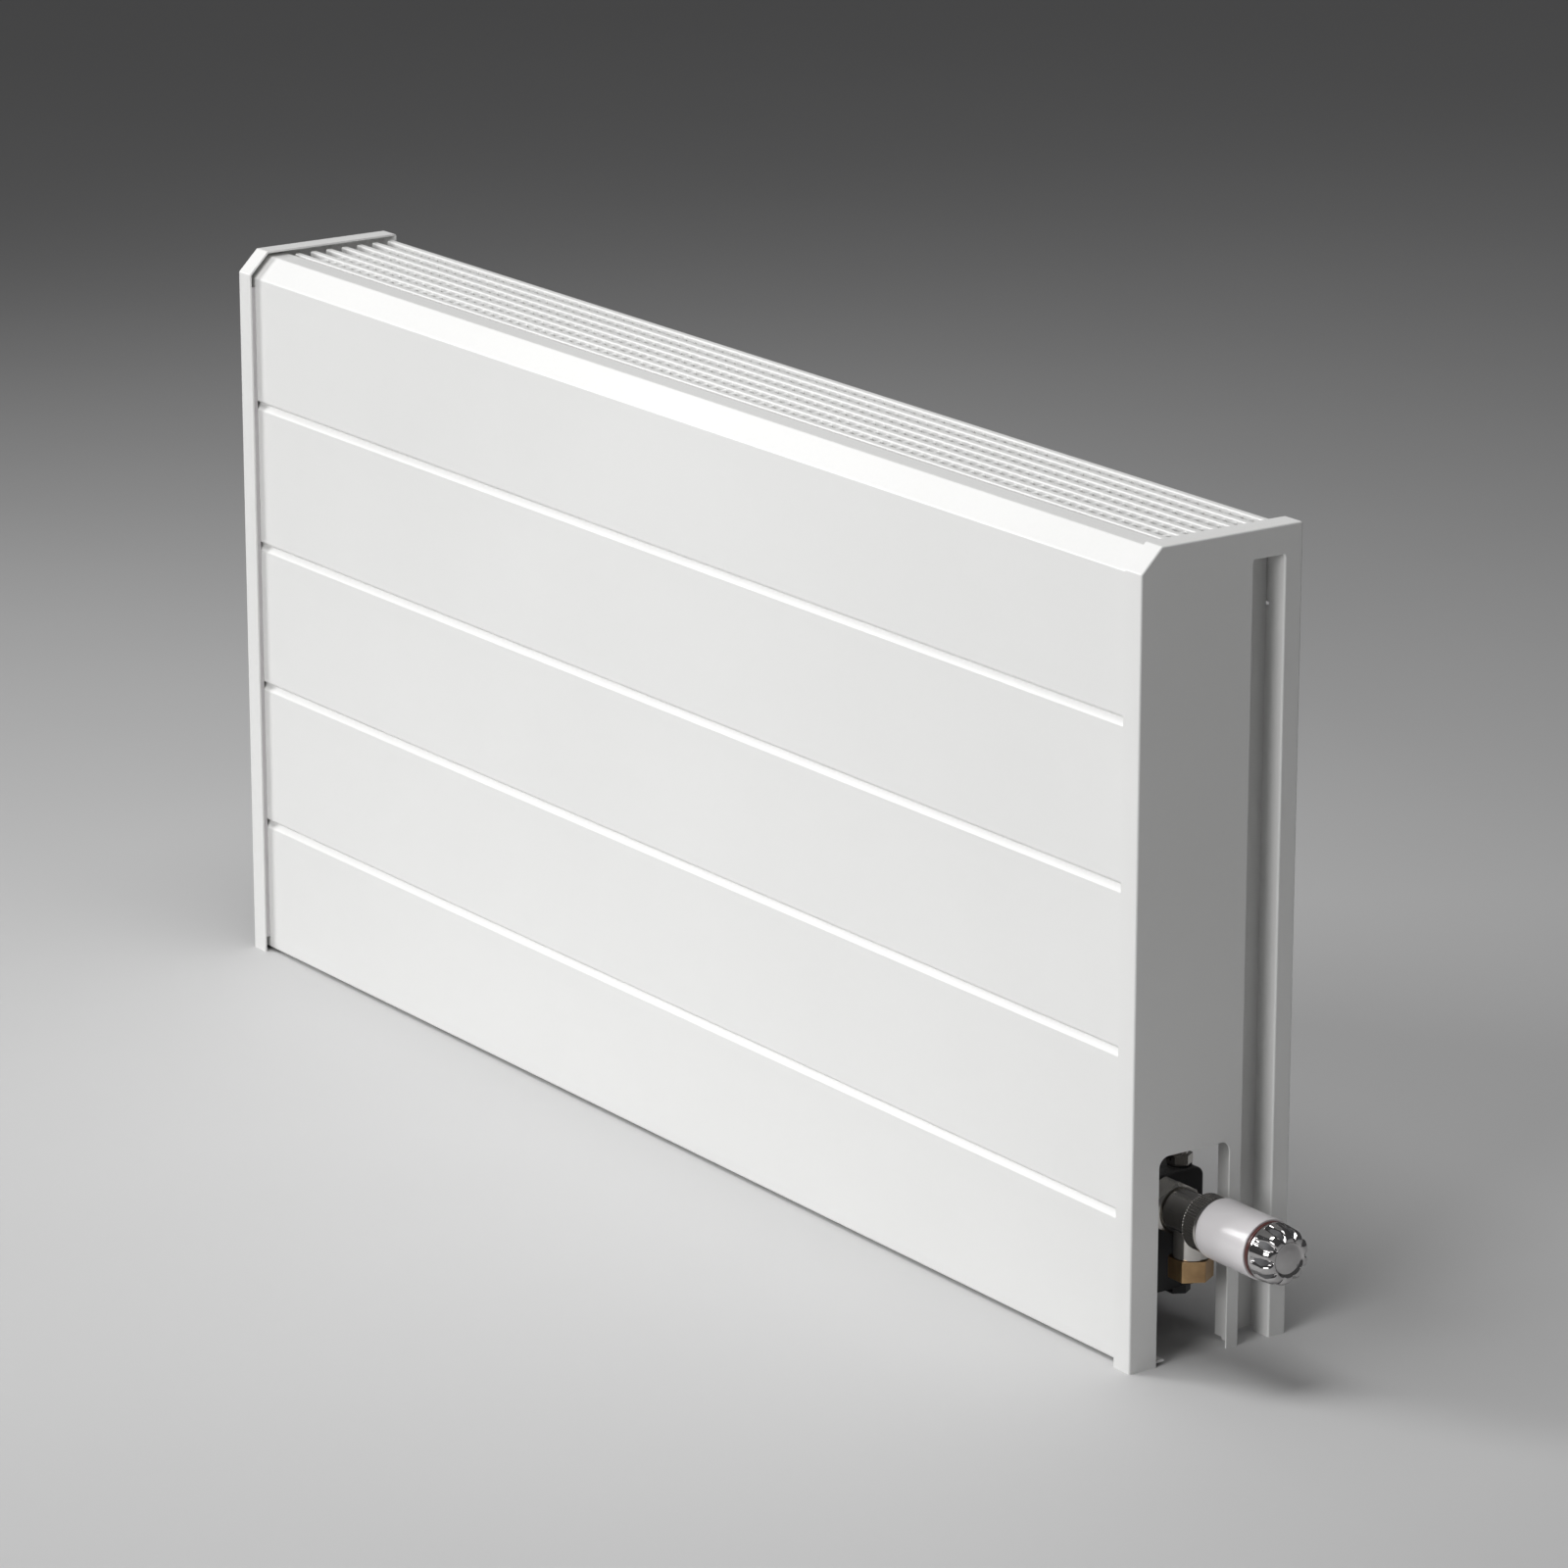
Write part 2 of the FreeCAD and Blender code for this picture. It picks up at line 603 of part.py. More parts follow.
def sensor_element():
    """The sensor that swells with warmth, with the plunger that pushes the pin."""
    x = flow_face_x
    profile = [(x + 60, 0.0), (x + 60, 3.2), (x + 66, 3.2), (x + 67, 9.0 - running - 0.03)]
    profile += [(x + 92, 9.0 - running - 0.03), (x + 93, 8.0), (x + 93, 0.0)]
    return turned(profile, valve_y, high_tube_z)


def head_sleeve():
    """The white sleeve of the head, which turns on the carrier."""
    x = flow_face_x
    profile = [(x + 56, 15.2), (x + 56, 17.2), (x + 56.5, 18.0), (x + 57.5, 18.5), (x + 59.5, head_radius)]
    profile += [(x + 101.4, head_radius), (x + 102, head_radius - 0.6), (x + 102, 14.6), (x + 58, 14.6)]
    return turned(profile, valve_y, high_tube_z)


def trim_ring():
    """The thin coloured ring between the sleeve and the grip."""
    x = flow_face_x + 102
    return turned([(x, 12.0), (x, 17.6), (x + 2.2, 17.6), (x + 2.2, 12.0)], valve_y, high_tube_z)


def head_grip():
    """The fluted chrome end that the hand turns."""
    x, y, z = flow_face_x + 104.2, valve_y, high_tube_z
    tip = right_x + head_reach
    profile = [(x, 0.0), (x, 16.6), (x + 1.2, 18.2), (tip - 5, 17.4), (tip - 2, 15.8), (tip, 12.5)]
    profile += [(tip, 9.0), (tip - 1.4, 8.0), (tip - 1.4, 0.0)]
    grip = turned(profile, y, z)
    flutes = []
    for i in range(10):
        angle = math.radians(36 * i)
        cy, cz = y + 20.2 * math.cos(angle), z + 20.2 * math.sin(angle)
        flutes.append(rod(X_AXIS, x + 3.2, tip + 1, cy, cz, 4.2))
    return grip.cut(Part.makeCompound(flutes))


# ---- lockshield valve on the return ----

return_face_x = left_x + return_inset
return_pipe_x = return_face_x - 30.5
return_nut_z = 5.0


def lockshield_body():
    """The return valve's body: union thread, downward outlet and the neck for the spindle."""
    x, y, z = return_face_x, valve_y, low_tube_z
    profile = [(x - 9.9, 0.0), (x - 9.9, 12.0), (x - 19.2, 12.0), (x - 19.5, 12.6), (x - 41, 12.6)]
    profile += [(x - 42, 8.0), (x - 46, 8.0), (x - 46, 0.0)]
    body = turned(profile, y, z)
    branch = rod(Z_AXIS, return_nut_z + 13.5, z, return_pipe_x, y, 10.6)
    spigot = rod(Z_AXIS, return_nut_z + 9.2, return_nut_z + 13.5, return_pipe_x, y, 9.9)
    body = body.fuse(branch).fuse(spigot).removeSplitter()
    body = body.cut(rod(X_AXIS, x - 9, x - 39, y, z, 7.0))
    body = body.cut(rod(X_AXIS, x - 38, x - 47, y, z, 4.0))
    body = body.cut(rod(Z_AXIS, return_nut_z + 8, z, return_pipe_x, y, 6.5))
    return body.cut(rod(Z_AXIS, return_nut_z + 8, return_nut_z + 15.5, return_pipe_x, y, pipe_radius + 0.1))


def lockshield_spindle():
    """The adjusting spindle, with a hexagon socket in its outer end."""
    x = return_face_x
    profile = [(x - 22, 0.0), (x - 22, 4.0), (x - 25, 6.9), (x - 38, 6.9), (x - 38, 4.0 - running)]
    profile += [(x - 45, 4.0 - running), (x - 45, 0.0)]
    spindle = turned(profile, valve_y, low_tube_z)
    return spindle.cut(hexagon(X_AXIS, x - 40, x - 46, valve_y, low_tube_z, 4))


def lockshield_cap():
    """The cap that hides the adjusting spindle."""
    x = return_face_x
    profile = [(x - 42.4, 8.1), (x - 42.4, 10.2), (x - 51, 9.4), (x - 52.2, 8.2), (x - 52.2, 0.0)]
    profile += [(x - 48.5, 0.0), (x - 48.5, 8.1)]
    cap = turned(profile, valve_y, low_tube_z)
    ribs = []
    for i in range(18):
        angle = math.radians(20 * i)
        cy, cz = valve_y + 10.9 * math.cos(angle), low_tube_z + 10.9 * math.sin(angle)
        ribs.append(rod(X_AXIS, x - 44, x - 53, cy, cz, 1.0))
    return cap.cut(Part.makeCompound(ribs))


nodes = {
    "front_panel": front_panel(),
    "left_end_cap": end_cap(left_x, 1),
    "right_end_cap": end_cap(right_x, -1),
    "slot_liners": slot_liners(),
    "cap_spacers": cap_spacers(),
    "spacer_rivets": spacer_rivets(),
    "rear_rail": rear_rail(),
    "grille_supports": grille_supports(),
    "grille_bars": grille_bars(),
    "grille_cross_rods": grille_cross_rods(),
    "left_wall_bracket": wall_bracket(left_x + bracket_margin),
    "right_wall_bracket": wall_bracket(right_x - bracket_margin),
    "bracket_pads": bracket_pads(),
    "fin_pack": fin_pack(),
    "copper_tubes": copper_tubes(),
    "flow_header": header(flow_face_x, -1, high_tube_z),
    "return_header": header(return_face_x, 1, low_tube_z),
    "header_plugs": header_plugs(),
    "port_washers": port_washers(),
    "vent_plug": vent_plug(),
    "vent_screw": vent_screw(),
    "flow_tailpiece": tailpiece(flow_face_x, 1, high_tube_z),
    "flow_union_nut": union_nut(flow_face_x, 1, high_tube_z),
    "valve_body": valve_body(),
    "inlet_nut": pipe_nut(flow_pipe_x, flow_nut_z),
    "inlet_olive": olive(flow_pipe_x, flow_nut_z),
    "valve_insert": valve_insert(),
    "spindle_o_ring": spindle_o_ring(),
    "spring_seat": spring_seat(),
    "return_spring": return_spring(),
    "valve_spindle": valve_spindle(),
    "valve_disc": valve_disc(),
    "head_collar_nut": head_collar_nut(),
    "head_base": head_base(),
    "sensor_element": sensor_element(),
    "head_sleeve": head_sleeve(),
    "trim_ring": trim_ring(),
    "head_grip": head_grip(),
    "return_tailpiece": tailpiece(return_face_x, -1, low_tube_z),
    "return_union_nut": union_nut(return_face_x, -1, low_tube_z),
    "lockshield_body": lockshield_body(),
    "lockshield_spindle": lockshield_spindle(),
    "lockshield_cap": lockshield_cap(),
    "outlet_nut": pipe_nut(return_pipe_x, return_nut_z),
    "outlet_olive": olive(return_pipe_x, return_nut_z),
}

os.makedirs("parts", exist_ok=True)
for name, shape in nodes.items():
    shape.exportStep(f"parts/{name}.step")
    bad = [solid for solid in shape.Solids if not solid.isValid() or solid.Volume <= 0]
    print(f"{name}: {len(shape.Solids)} solids, {shape.Volume / 1000:.2f} cm3, {len(bad)} bad")
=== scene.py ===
import json
import logging
import math
from dataclasses import dataclass, field
from enum import Enum
from typing import Callable, Sequence

import bmesh
import bpy
from mathutils import Matrix, Vector


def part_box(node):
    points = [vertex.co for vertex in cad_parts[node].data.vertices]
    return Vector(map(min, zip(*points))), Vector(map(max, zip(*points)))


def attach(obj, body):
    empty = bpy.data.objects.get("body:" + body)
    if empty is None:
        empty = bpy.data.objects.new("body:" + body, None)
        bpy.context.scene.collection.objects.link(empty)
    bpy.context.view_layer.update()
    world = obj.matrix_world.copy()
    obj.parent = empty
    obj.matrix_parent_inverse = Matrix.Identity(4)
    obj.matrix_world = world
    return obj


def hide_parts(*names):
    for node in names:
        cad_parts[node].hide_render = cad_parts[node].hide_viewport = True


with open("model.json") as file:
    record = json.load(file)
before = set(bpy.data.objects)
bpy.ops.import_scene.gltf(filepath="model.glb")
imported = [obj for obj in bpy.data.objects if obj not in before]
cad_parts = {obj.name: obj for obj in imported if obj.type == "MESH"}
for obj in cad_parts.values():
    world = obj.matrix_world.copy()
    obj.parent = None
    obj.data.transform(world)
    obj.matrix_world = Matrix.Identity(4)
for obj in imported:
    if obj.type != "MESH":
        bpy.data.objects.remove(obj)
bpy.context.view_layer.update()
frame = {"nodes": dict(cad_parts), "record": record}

log = logging.getLogger("radiator")
MM = 0.001
Colour = tuple[float, float, float]
Profile = list[tuple[float, float]]
MIX_A, MIX_B, MIX_RESULT = 6, 7, 2  # the colour sockets of a Mix node
DUST_COLOUR = (0.46, 0.44, 0.41, 1.0)
BUMP_HEIGHT = 0.2 * MM
RUBBED_EDGE = 0.6 * MM  # how wide the rubbed part of an edge is
MERGE_WITHIN = 1e-7  # points closer than this, in metres, are one point
COLLAPSE_WITHIN = 1e-8
ON_AXIS = 1e-9
COIL_STEPS, WIRE_SIDES = 24, 10


class Slot(Enum):
    """The record's material slots."""

    ENAMEL = "white_enamel"
    ZINC = "zinc_steel"
    STEEL = "steel_screw"
    GRAPHITE = "graphite_lacquer"
    COPPER = "copper"
    BRASS = "brass"
    NICKEL = "nickel"
    CHROME = "chrome"
    WHITE_PLASTIC = "white_plastic"
    GREY_PLASTIC = "grey_plastic"
    RING_PLASTIC = "ring_plastic"
    RUBBER = "rubber"


class Body(Enum):
    """The bodies that pieces ride on."""

    RADIATOR = "radiator"
    GRILLE = "grille"
    HEAD = "thermostat_head"


# ---- shared shader groups ----


class GroupMaker:
    """Builds one shader node group with named inputs and outputs."""

    def __init__(self, name: str) -> None:
        """Starts an empty group.

        Args:
            name: the group's name.
        """
        self.tree = bpy.data.node_groups.new(name, "ShaderNodeTree")
        self.source = self.tree.nodes.new("NodeGroupInput")
        self.sink = self.tree.nodes.new("NodeGroupOutput")

    def takes(self, name: str, kind: str, value: object) -> None:
        """Adds an input.

        Args:
            name: the input's name.
            kind: Float, Color or Vector.
            value: its default.
        """
        socket = self.tree.interface.new_socket(name, in_out="INPUT", socket_type=f"NodeSocket{kind}")
        socket.default_value = value

    def gives(self, name: str, kind: str) -> None:
        """Adds an output of that name and kind."""
        self.tree.interface.new_socket(name, in_out="OUTPUT", socket_type=f"NodeSocket{kind}")

    def node(self, kind: str, inputs: dict | None = None, **settings: object) -> bpy.types.Node:
        """Adds a node, sets its properties and fills its inputs.

        Args:
            kind: the node's type name.
            inputs: values or output sockets by input name or index.
            settings: node properties by name.

        Returns:
            The new node.
        """
        return add_node(self.tree, kind, inputs, **settings)

    def times(self, first: bpy.types.NodeSocket, second: bpy.types.NodeSocket) -> bpy.types.NodeSocket:
        """The product of two values."""
        return self.node("ShaderNodeMath", {0: first, 1: second}, operation="MULTIPLY").outputs["Value"]

    def send(self, name: str, socket: bpy.types.NodeSocket) -> None:
        """Links a socket to the group's output of that name."""
        self.tree.links.new(socket, self.sink.inputs[name])


def add_node(
    tree: bpy.types.NodeTree, kind: str, inputs: dict | None = None, **settings: object
) -> bpy.types.Node:
    """Adds a node to a tree.

    Args:
        tree: the node tree.
        kind: the node's type name.
        inputs: values or output sockets by input name or index.
        settings: node properties by name.

    Returns:
        The new node.
    """
    made = tree.nodes.new(kind)
    for key, value in settings.items():
        setattr(made, key, value)
    for key, value in (inputs or {}).items():
        if isinstance(value, bpy.types.NodeSocket):
            tree.links.new(value, made.inputs[key])
        else:
            made.inputs[key].default_value = value
    return made


def make_tone_group() -> bpy.types.NodeTree:
    """A colour that drifts a little over the surface, with faint dust on what faces up.

    Returns:
        The node group.
    """
    group = GroupMaker("tone_and_dust")
    group.takes("Base", "Color", (0.8, 0.8, 0.8, 1.0))
    group.takes("Shade", "Color", (0.7, 0.7, 0.7, 1.0))
    group.takes("Scale", "Float", 6.0)
    group.takes("Dust", "Float", 0.0)
    group.gives("Color", "Color")
    source = group.source.outputs
    place = group.node("ShaderNodeTexCoord").outputs["Object"]
    broad = group.node("ShaderNodeTexNoise", {"Vector": place, "Scale": source["Scale"], "Detail": 4.0})
    share = group.node("ShaderNodeMapRange", {
        "Value": broad.outputs["Fac"], "From Min": 0.35, "From Max": 0.7})
    toned = group.node("ShaderNodeMix", {0: share.outputs["Result"]}, data_type="RGBA")
    group.tree.links.new(source["Base"], toned.inputs[MIX_A])
    group.tree.links.new(source["Shade"], toned.inputs[MIX_B])
    normal = group.node("ShaderNodeNewGeometry").outputs["Normal"]
    upward = group.node("ShaderNodeSeparateXYZ", {"Vector": normal}).outputs["Z"]
    lying = group.node("ShaderNodeMapRange", {"Value": upward, "From Min": 0.5, "From Max": 1.0})
    specks = group.node("ShaderNodeTexNoise", {
        "Vector": place, "Scale": 420.0, "Detail": 6.0, "Roughness": 0.7})
    patch = group.node("ShaderNodeMapRange", {
        "Value": specks.outputs["Fac"], "From Min": 0.4, "From Max": 0.75})
    spread = group.times(lying.outputs["Result"], patch.outputs["Result"])
    amount = group.times(spread, source["Dust"])
    dusty = group.node("ShaderNodeMix", {0: amount, MIX_B: DUST_COLOUR}, data_type="RGBA")
    group.tree.links.new(toned.outputs[MIX_RESULT], dusty.inputs[MIX_A])
    group.send("Color", dusty.outputs[MIX_RESULT])
    return group.tree


def make_grain_group() -> bpy.types.NodeTree:
    """Roughness and relief from one noise that can be stretched along an axis.

    Returns:
        The node group.
    """
    group = GroupMaker("surface_grain")
    group.takes("Grain", "Vector", (600.0, 600.0, 600.0))
    group.takes("Roughness", "Float", 0.4)
    group.takes("Spread", "Float", 0.1)
    group.takes("Relief", "Float", 0.1)
    group.gives("Roughness", "Float")
    group.gives("Normal", "Vector")
    source = group.source.outputs
    place = group.node("ShaderNodeTexCoord").outputs["Object"]
    scaled = group.node("ShaderNodeVectorMath", {0: place, 1: source["Grain"]}, operation="MULTIPLY")
    noise = group.node("ShaderNodeTexNoise", {
        "Vector": scaled.outputs["Vector"], "Scale": 1.0, "Detail": 3.0})
    centred = group.node("ShaderNodeMath", {0: noise.outputs["Fac"], 1: 0.5}, operation="SUBTRACT")
    drift = group.times(centred.outputs["Value"], source["Spread"])
    rough = group.node("ShaderNodeMath", {0: drift, 1: source["Roughness"]}, operation="ADD")
    bump = group.node("ShaderNodeBump", {
        "Height": noise.outputs["Fac"], "Strength": source["Relief"], "Distance": BUMP_HEIGHT})
    group.send("Roughness", rough.outputs["Value"])
    group.send("Normal", bump.outputs["Normal"])
    return group.tree


def make_edge_group() -> bpy.types.NodeTree:
    """Brightens a colour where an edge has been rubbed.

    Returns:
        The node group.
    """
    group = GroupMaker("edge_wear")
    group.takes("Color", "Color", (0.5, 0.5, 0.5, 1.0))
    group.takes("Worn", "Color", (0.8, 0.8, 0.8, 1.0))
    group.takes("Amount", "Float", 0.5)
    group.gives("Color", "Color")
    source = group.source.outputs
    soft = group.node("ShaderNodeBevel", {"Radius": RUBBED_EDGE}, samples=4)
    hard = group.node("ShaderNodeNewGeometry").outputs["Normal"]
    match = group.node("ShaderNodeVectorMath", {0: soft.outputs["Normal"], 1: hard}, operation="DOT_PRODUCT")
    edge = group.node("ShaderNodeMapRange", {
        "Value": match.outputs["Value"], "From Min": 0.98, "From Max": 0.8})
    amount = group.times(edge.outputs["Result"], source["Amount"])
    mixed = group.node("ShaderNodeMix", {0: amount}, data_type="RGBA")
    group.tree.links.new(source["Color"], mixed.inputs[MIX_A])
    group.tree.links.new(source["Worn"], mixed.inputs[MIX_B])
    group.send("Color", mixed.outputs[MIX_RESULT])
    return group.tree


@dataclass(frozen=True)
class Finish:
    """One finish of the radiator, as values for the shared groups and the shader."""

    slot: Slot
    base: Colour
    shade: Colour
    metallic: float
    roughness: float
    spread: float = 0.08
    grain: Colour = (600.0, 600.0, 600.0)
    relief: float = 0.1
    tone_scale: float = 6.0
    dust: float = 0.0
    worn: Colour | None = None
    coat: float = 0.0
    coat_roughness: float = 0.12

    def build(
        self, tone: bpy.types.NodeTree, grain: bpy.types.NodeTree, edge: bpy.types.NodeTree
    ) -> bpy.types.Material:
        """Makes the material.

        Args:
            tone: the tone and dust group.
            grain: the grain group.
            edge: the edge wear group.

        Returns:
            The material.
        """
        material = bpy.data.materials.new(f"{self.slot.value}_finish")
        material.use_nodes = True
        tree = material.node_tree
        shader = tree.nodes["Principled BSDF"]
        toned = add_node(tree, "ShaderNodeGroup", node_tree=tone)
        toned.inputs["Base"].default_value = (*self.base, 1.0)
        toned.inputs["Shade"].default_value = (*self.shade, 1.0)
        toned.inputs["Scale"].default_value = self.tone_scale
        toned.inputs["Dust"].default_value = self.dust
        colour = toned.outputs["Color"]
        if self.worn:
            rubbed = add_node(tree, "ShaderNodeGroup", node_tree=edge)
            tree.links.new(colour, rubbed.inputs["Color"])
            rubbed.inputs["Worn"].default_value = (*self.worn, 1.0)
            colour = rubbed.outputs["Color"]
        surface = add_node(tree, "ShaderNodeGroup", node_tree=grain)
        surface.inputs["Grain"].default_value = self.grain
        surface.inputs["Roughness"].default_value = self.roughness
        surface.inputs["Spread"].default_value = self.spread
        surface.inputs["Relief"].default_value = self.relief
        tree.links.new(colour, shader.inputs["Base Color"])
        tree.links.new(surface.outputs["Roughness"], shader.inputs["Roughness"])
        tree.links.new(surface.outputs["Normal"], shader.inputs["Normal"])
        shader.inputs["Metallic"].default_value = self.metallic
        shader.inputs["Coat Weight"].default_value = self.coat
        shader.inputs["Coat Roughness"].default_value = self.coat_roughness
        return material


FINISHES = (
    Finish(Slot.ENAMEL, (0.80, 0.80, 0.79), (0.77, 0.77, 0.76), 0.0, 0.36, grain=(900.0, 900.0, 900.0),
           relief=0.12, tone_scale=3.0, dust=0.10),
    Finish(Slot.ZINC, (0.58, 0.59, 0.61), (0.44, 0.45, 0.48), 1.0, 0.42, grain=(160.0, 160.0, 160.0),
           spread=0.25, tone_scale=60.0, dust=0.2),
    Finish(Slot.STEEL, (0.62, 0.62, 0.62), (0.5, 0.5, 0.5), 1.0, 0.28, worn=(0.8, 0.8, 0.8)),
    Finish(Slot.GRAPHITE, (0.035, 0.035, 0.037), (0.022, 0.022, 0.023), 0.0, 0.42,
           grain=(700.0, 700.0, 700.0), relief=0.2, tone_scale=25.0, dust=0.25, coat=0.1),
    Finish(Slot.COPPER, (0.72, 0.36, 0.22), (0.50, 0.22, 0.13), 1.0, 0.30, grain=(60.0, 1800.0, 1800.0),
           spread=0.2, tone_scale=25.0, dust=0.15),
    Finish(Slot.BRASS, (0.50, 0.33, 0.17), (0.33, 0.21, 0.11), 1.0, 0.34, grain=(1300.0, 1300.0, 1300.0),
           relief=0.25, tone_scale=60.0, worn=(0.74, 0.54, 0.30), dust=0.1),
    Finish(Slot.NICKEL, (0.56, 0.54, 0.51), (0.44, 0.42, 0.40), 1.0, 0.20, grain=(900.0, 900.0, 900.0),
           relief=0.06, tone_scale=60.0, worn=(0.78, 0.77, 0.74)),
    Finish(Slot.CHROME, (0.50, 0.49, 0.49), (0.42, 0.41, 0.41), 1.0, 0.06, spread=0.05, relief=0.01,
           tone_scale=80.0),
    Finish(Slot.WHITE_PLASTIC, (0.71, 0.69, 0.70), (0.68, 0.66, 0.67), 0.0, 0.30,
           grain=(1500.0, 1500.0, 1500.0), relief=0.05, tone_scale=40.0, coat=0.25),
    Finish(Slot.GREY_PLASTIC, (0.12, 0.12, 0.125), (0.09, 0.09, 0.095), 0.0, 0.55,
           relief=0.2, tone_scale=30.0),
    Finish(Slot.RING_PLASTIC, (0.10, 0.025, 0.022), (0.07, 0.018, 0.016), 0.0, 0.35,
           relief=0.05, tone_scale=50.0),
    Finish(Slot.RUBBER, (0.028, 0.028, 0.028), (0.018, 0.018, 0.018), 0.0, 0.8,
           grain=(1800.0, 1800.0, 1800.0), relief=0.4, tone_scale=40.0, dust=0.15),
)


@dataclass
class PaintShop:
    """Builds every finish once and dresses the carried-over CAD nodes."""

    materials: dict[Slot, bpy.types.Material] = field(default_factory=dict)

    def open(self) -> None:
        """Builds the shared groups and the materials."""
        tone, grain, edge = make_tone_group(), make_grain_group(), make_edge_group()
        for finish in FINISHES:
            self.materials[finish.slot] = finish.build(tone, grain, edge)

    def dress_frame(self) -> None:
        """Gives each CAD node the finish of its slot in the record."""
        for part in frame["record"]["subparts"]:
            node = frame["nodes"][part["node"]]
            for holder in node.material_slots:
                holder.material = self.materials[Slot(part["material_slot"])]
            log.info("dressed %s in %s", part["node"], part["material_slot"])


# ---- mesh helpers ----


def to_object(name: str, shape: bmesh.types.BMesh, sharp_deg: float = 32.0) -> bpy.types.Object:
    """Turns a bmesh into an object with smooth faces and sharp edges past an angle.

    Args:
        name: the piece's name.
        shape: the bmesh, which is freed.
        sharp_deg: edges that turn more than this stay sharp.

    Returns:
        The new object at the origin.
    """
    bmesh.ops.remove_doubles(shape, verts=shape.verts, dist=MERGE_WITHIN)
    bmesh.ops.recalc_face_normals(shape, faces=shape.faces)
    mesh = bpy.data.meshes.new(name)
    shape.to_mesh(mesh)
    shape.free()
    mesh.shade_smooth()
    mesh.set_sharp_from_angle(angle=math.radians(sharp_deg))
    made = bpy.data.objects.new(name, mesh)
    bpy.context.scene.collection.objects.link(made)
    return made


def turned(
    profile_at: Callable[[float], Profile], centre: tuple[float, float], segments: int
) -> bmesh.types.BMesh:
    """A closed shape turned about a line along X, whose profile may change with the angle.

    Args:
        profile_at: gives the closed profile's (x, radius) points at an angle in radians.
        centre: y and z of the line.
        segments: steps round the line.

    Returns:
        The bmesh.
    """
    shape = bmesh.new()
    rings = []
    for step in range(segments):
        angle = 2 * math.pi * step / segments
        across, up = math.cos(angle), math.sin(angle)
        points = profile_at(angle)
        rings.append([
            shape.verts.new((x, centre[0] + r * across, centre[1] + r * up)) for x, r in points])
    count = len(rings[0])
    closed = all(r > ON_AXIS for _, r in profile_at(0.0))
    for step in range(segments):
        here, there = rings[step], rings[(step + 1) % segments]
        for i in range(count if closed else count - 1):
            j = (i + 1) % count
            shape.faces.new((here[i], here[j], there[j], there[i]))
    bmesh.ops.remove_doubles(shape, verts=shape.verts, dist=MERGE_WITHIN)
    bmesh.ops.dissolve_degenerate(shape, dist=COLLAPSE_WITHIN, edges=shape.edges)
    return shape


def rounded(
    corners: Sequence[tuple[float, float, float]], steps: int = 4, closed: bool = True
) -> Profile:
    """Rounds the corners of a profile.

    Args:
        corners: (x, radius, rounding) of each corner.
        steps: points on each rounded corner, less one.
        closed: whether the last corner is followed by the first.

    Returns:
        The profile's points.
    """
    points: Profile = []
    count = len(corners)
    for i, (x, r, rounding) in enumerate(corners):
        here = Vector((x, r))
        ends = not closed and i in (0, count - 1)
        if rounding <= 0 or ends:
            points.append((x, r))
            continue
        before = (Vector(corners[i - 1][:2]) - here).normalized()
        after = (Vector(corners[(i + 1) % count][:2]) - here).normalized()
        start, end = here + before * rounding, here + after * rounding
        for step in range(steps + 1):
            t = step / steps
            at = start * (1 - t) ** 2 + here * 2 * t * (1 - t) + end * t * t
            points.append((at.x, at.y))
    return points


class End(Enum):
    """The ends of a turned piece along X."""

    NEAR = "towards the valve"
    FREE = "away from it"


@dataclass(frozen=True)
class Corner:
    """One corner of a turned outline, in millimetres from one end of its node."""

    end: End
    along: float
    radius: float
    rounding: float = 0.0


def outline_of(low: Vector, high: Vector, corners: Sequence[Corner]) -> list[tuple[float, float, float]]:
    """Places an outline's corners at the ends of a node's box.

    Args:
        low: the low corner of the box.
        high: its high corner.
        corners: the outline.

    Returns:
        (x, radius, rounding) of each corner in metres.
    """
    start = {End.NEAR: low.x, End.FREE: high.x}
    return [(start[c.end] + c.along * MM, c.radius * MM, c.rounding * MM) for c in corners]


def box_centre(node: str) -> tuple[float, float]:
    """Y and z of the middle of a node's box."""
    low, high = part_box(node)
    return (low.y + high.y) / 2, (low.z + high.z) / 2


# ---- geometry node trees ----


def new_tree(
    name: str, inputs: Sequence[tuple[str, str]]
) -> tuple[bpy.types.NodeTree, bpy.types.Node, bpy.types.Node]:
    """Starts a geometry node tree.

    Args:
        name: the tree's name.
        inputs: name and socket kind of each input after the geometry.

    Returns:
        The tree, its input node and its output node.
    """
    tree = bpy.data.node_groups.new(name, "GeometryNodeTree")
    tree.interface.new_socket("Geometry", in_out="INPUT", socket_type="NodeSocketGeometry")
    for label, kind in inputs:
        tree.interface.new_socket(label, in_out="INPUT", socket_type=f"NodeSocket{kind}")
    tree.interface.new_socket("Geometry", in_out="OUTPUT", socket_type="NodeSocketGeometry")
    return tree, tree.nodes.new("NodeGroupInput"), tree.nodes.new("NodeGroupOutput")


def finish_tree(tree: bpy.types.NodeTree, shape: bpy.types.NodeSocket, sink: bpy.types.Node,
                material: bpy.types.NodeSocket) -> None:
    """Ends a tree in Realize Instances and Set Material.

    Args:
        tree: the tree.
        shape: the socket with the instances.
        sink: the tree's output node.
        material: the socket with the material.
    """
    real = add_node(tree, "GeometryNodeRealizeInstances", {"Geometry": shape})
    dressed = add_node(tree, "GeometryNodeSetMaterial", {
        "Geometry": real.outputs["Geometry"], "Material": material})
    tree.links.new(dressed.outputs["Geometry"], sink.inputs["Geometry"])


